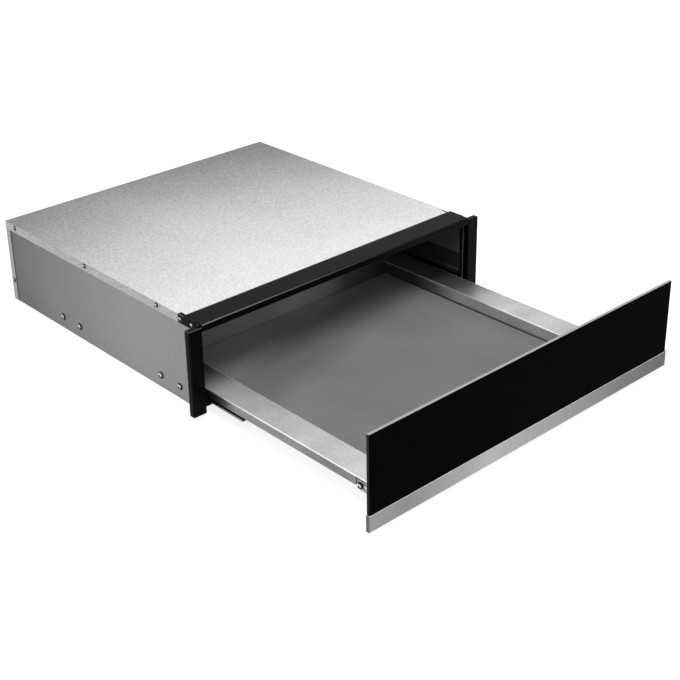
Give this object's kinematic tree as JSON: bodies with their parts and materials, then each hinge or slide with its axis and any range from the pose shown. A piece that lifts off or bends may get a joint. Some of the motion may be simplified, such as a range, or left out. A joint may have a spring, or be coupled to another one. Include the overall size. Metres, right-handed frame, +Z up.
{
  "type": "built-in warming drawer",
  "caption": "Built-in warming drawer pulled out: black glass front with a steel strip, brushed tray with a grey mat, black frame and galvanised casing.",
  "frame": {"origin": "middle of the casing's underside, on the face that stands in the niche", "axes": "+X to the right as seen from the front, +Y towards the back, +Z up; the drawer opens towards -Y"},
  "size_m": [0.594, 0.875, 0.14],
  "materials": {
    "galvanised_sheet": "hot-dip galvanised, fine spangle",
    "black_frame": "satin black",
    "dark_lining": "matt dark enamel",
    "brushed_steel": "brushed",
    "zinc_steel": "bright zinc plated",
    "black_glass": "polished, printed black from behind",
    "mat_rubber": "matt silicone",
    "dark_plastic": "moulded, fine grain",
    "pale_plastic": "moulded",
    "heater_steel": "heat-tinted stainless tube",
    "motor_steel": "satin",
    "amber_lens": "clear moulded"
  },
  "bodies": {
    "casing": {"base_panel": "galvanised_sheet", "left_side_panel": "galvanised_sheet", "right_side_panel": "galvanised_sheet", "back_panel": "galvanised_sheet", "top_cover": "galvanised_sheet", "front_top_rail": "black_frame", "front_flange_left": "black_frame", "front_flange_right": "black_frame", "front_bottom_rail": "black_frame", "heat_shield": "dark_lining", "left_side_liner": "dark_lining", "right_side_liner": "dark_lining", "left_runner_bracket": "zinc_steel", "right_runner_bracket": "zinc_steel", "left_runner_outer": "zinc_steel", "right_runner_outer": "zinc_steel", "left_runner_screw_1": "zinc_steel", "left_runner_screw_2": "zinc_steel", "left_runner_screw_3": "zinc_steel", "left_runner_screw_4": "zinc_steel", "right_runner_screw_1": "zinc_steel", "right_runner_screw_2": "zinc_steel", "right_runner_screw_3": "zinc_steel", "right_runner_screw_4": "zinc_steel", "left_rail_screw_1": "zinc_steel", "left_rail_screw_2": "zinc_steel", "right_rail_screw_1": "zinc_steel", "right_rail_screw_2": "zinc_steel", "left_back_screw": "zinc_steel", "right_back_screw": "zinc_steel", "fan_housing": "galvanised_sheet", "fan_grille": "galvanised_sheet", "fan_motor": "motor_steel", "heating_element": "heater_steel", "thermal_cut_out": "pale_plastic", "terminal_box": "pale_plastic", "cable_gland": "dark_plastic", "latch_body": "dark_plastic"},
    "drawer": {"bottom_trim": "brushed_steel", "glass_front": "black_glass", "backing_plate": "black_frame", "drawer_tray": "brushed_steel", "tray_rear_wall": "brushed_steel", "anti_slip_mat": "mat_rubber", "left_runner_inner": "zinc_steel", "right_runner_inner": "zinc_steel", "left_front_bracket": "zinc_steel", "right_front_bracket": "zinc_steel", "left_bracket_screw": "zinc_steel", "right_bracket_screw": "zinc_steel", "control_housing": "dark_plastic", "indicator_lens": "amber_lens"},
    "left_slide": {"left_runner_middle": "zinc_steel"},
    "right_slide": {"right_runner_middle": "zinc_steel"},
    "impeller": {"fan_impeller": "motor_steel"},
    "knob": {"temperature_knob": "brushed_steel"},
    "rocker": {"power_switch": "dark_plastic"},
    "plunger": {"latch_plunger": "pale_plastic"}
  },
  "joints": [
    {"name": "drawer_slide", "type": "slide", "parent": "casing", "child": "drawer", "axis": [0, -1, 0], "range_m": [-0.344, 0]},
    {"name": "left_runner_slide", "type": "slide", "parent": "casing", "child": "left_slide", "axis": [0, -1, 0], "range_m": [-0.172, 0]},
    {"name": "right_runner_slide", "type": "slide", "parent": "casing", "child": "right_slide", "axis": [0, -1, 0], "range_m": [-0.172, 0]},
    {"name": "fan_spin", "type": "hinge", "parent": "casing", "child": "impeller", "pos_m": [0, 0.2165, 0.091], "axis": [0, 1, 0], "continuous": true},
    {"name": "temperature_turn", "type": "hinge", "parent": "drawer", "child": "knob", "pos_m": [0.1905, -0.5915, 0.1], "axis": [0, 0, -1], "range_deg": [0, 270]},
    {"name": "power_rock", "type": "hinge", "parent": "drawer", "child": "rocker", "pos_m": [0.1353, -0.5915, 0.098], "axis": [0, 1, 0], "range_deg": [-16, 0]},
    {"name": "plunger_press", "type": "slide", "parent": "casing", "child": "plunger", "axis": [0, 1, 0], "range_m": [0, 0.003], "stiffness_N_per_m": 600, "springref_m": -0.002}
  ],
  "couplings": [
    {"joint": "left_runner_slide", "follows": "drawer_slide", "ratio": 0.5},
    {"joint": "right_runner_slide", "follows": "drawer_slide", "ratio": 0.5}
  ]
}
